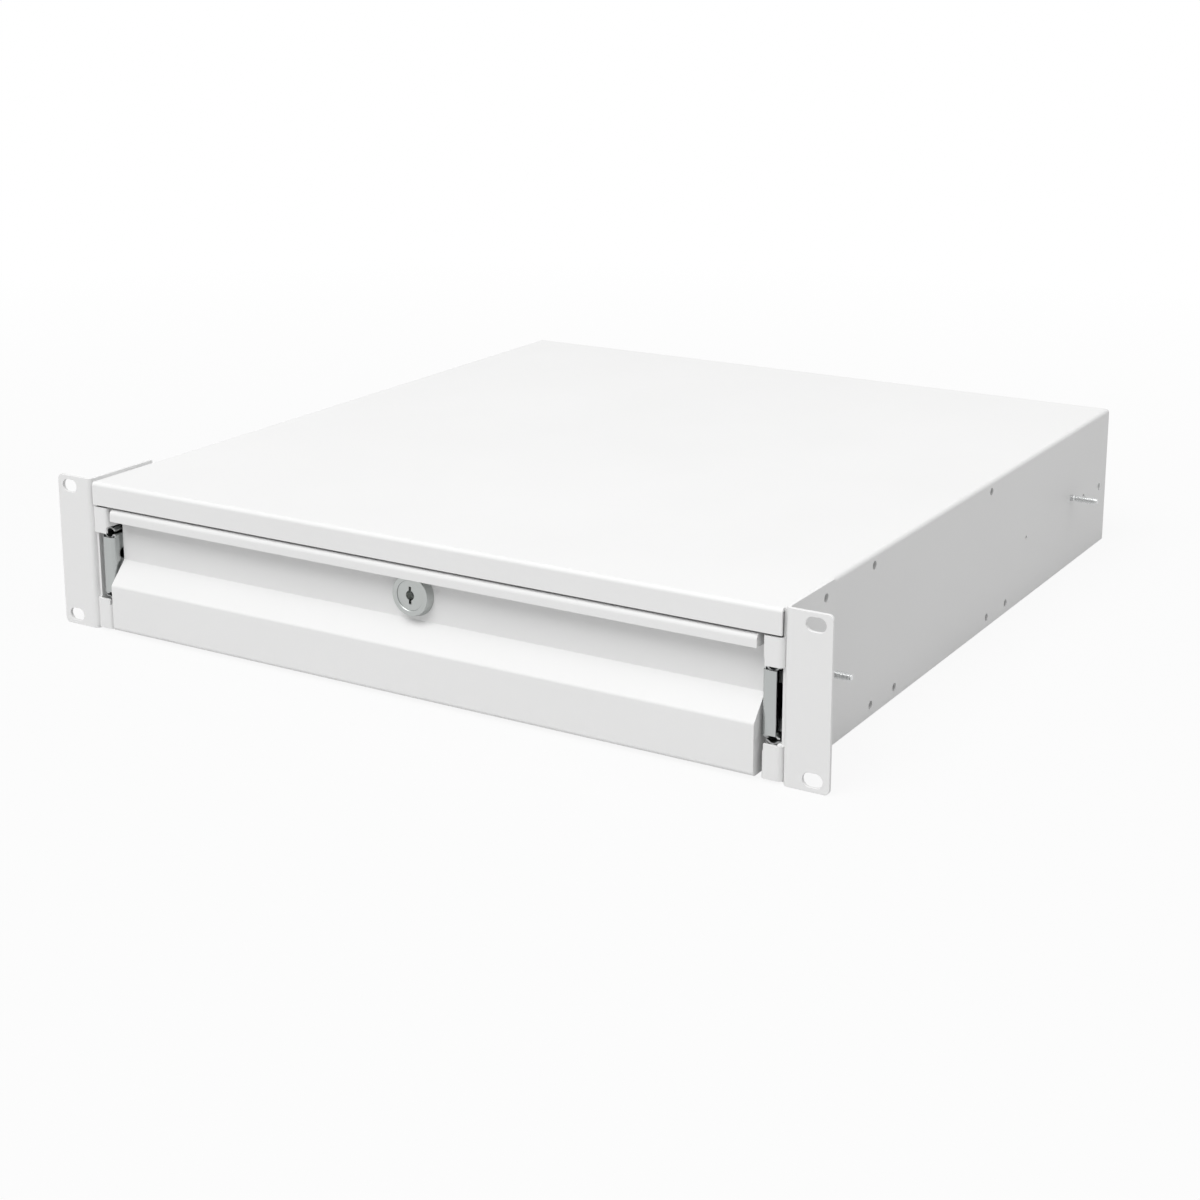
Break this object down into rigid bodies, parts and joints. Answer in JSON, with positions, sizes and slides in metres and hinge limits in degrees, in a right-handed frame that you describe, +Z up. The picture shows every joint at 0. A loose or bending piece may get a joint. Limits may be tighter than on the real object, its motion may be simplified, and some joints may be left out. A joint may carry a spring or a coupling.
{
  "type": "sliding rack drawer",
  "caption": "Lockable sliding drawer for 19-inch racks: folded steel housing with slotted ears, ball-bearing slides, open tray, stepped front with a grip strip and a cam lock.",
  "frame": {"origin": "centre of the four rack slots, on the front face of the ears", "axes": "+X across the rack to the viewer's right from the front, +Y back into the rack, +Z up; the drawer opens along -Y"},
  "size_m": [0.4826, 0.4684, 0.0882],
  "materials": {
    "powder_coat": "light grey powder coat, fine texture, satin",
    "slide_steel": "bright zinc-plated rolled steel",
    "zinc_steel": "bright zinc plating",
    "bearing_steel": "polished hardened steel",
    "lock_chrome": "satin nickel-plated die casting",
    "buffer_plastic": "moulded black plastic"
  },
  "bodies": {
    "housing": {"housing_shell": "powder_coat", "rear_panel": "powder_coat", "top_stiffener_front": "zinc_steel", "top_stiffener_rear": "zinc_steel", "bottom_brace_front": "powder_coat", "bottom_brace_rear": "powder_coat", "lock_strike": "powder_coat", "rack_ear_right": "powder_coat", "rack_ear_left": "powder_coat", "side_studs": "zinc_steel", "slide_outer_right": "slide_steel", "slide_outer_left": "slide_steel", "slide_buffer_right": "buffer_plastic", "slide_buffer_left": "buffer_plastic"},
    "drawer": {"drawer_front": "powder_coat", "drawer_tray": "powder_coat", "slide_inner_right": "slide_steel", "slide_inner_left": "slide_steel", "lock_housing": "lock_chrome", "lock_nut": "zinc_steel"},
    "cage_right": {"ball_cage_right": "slide_steel", "balls_right": "bearing_steel"},
    "cage_left": {"ball_cage_left": "slide_steel", "balls_left": "bearing_steel"},
    "lock_cylinder": {"lock_plug": "lock_chrome", "lock_cam": "zinc_steel", "cam_screw": "zinc_steel"}
  },
  "joints": [
    {"name": "drawer_slide", "type": "slide", "parent": "housing", "child": "drawer", "axis": [0, -1, 0], "range_m": [0, 0.34]},
    {"name": "cage_roll_right", "type": "slide", "parent": "housing", "child": "cage_right", "axis": [0, -1, 0], "range_m": [0, 0.17]},
    {"name": "cage_roll_left", "type": "slide", "parent": "housing", "child": "cage_left", "axis": [0, -1, 0], "range_m": [0, 0.17]},
    {"name": "lock_turn", "type": "hinge", "parent": "drawer", "child": "lock_cylinder", "pos_m": [0, 0.0053, 0.0112], "axis": [0, 1, 0], "range_deg": [0, 90]}
  ],
  "couplings": [
    {"joint": "cage_roll_right", "follows": "drawer_slide", "ratio": 0.5},
    {"joint": "cage_roll_left", "follows": "drawer_slide", "ratio": 0.5}
  ]
}
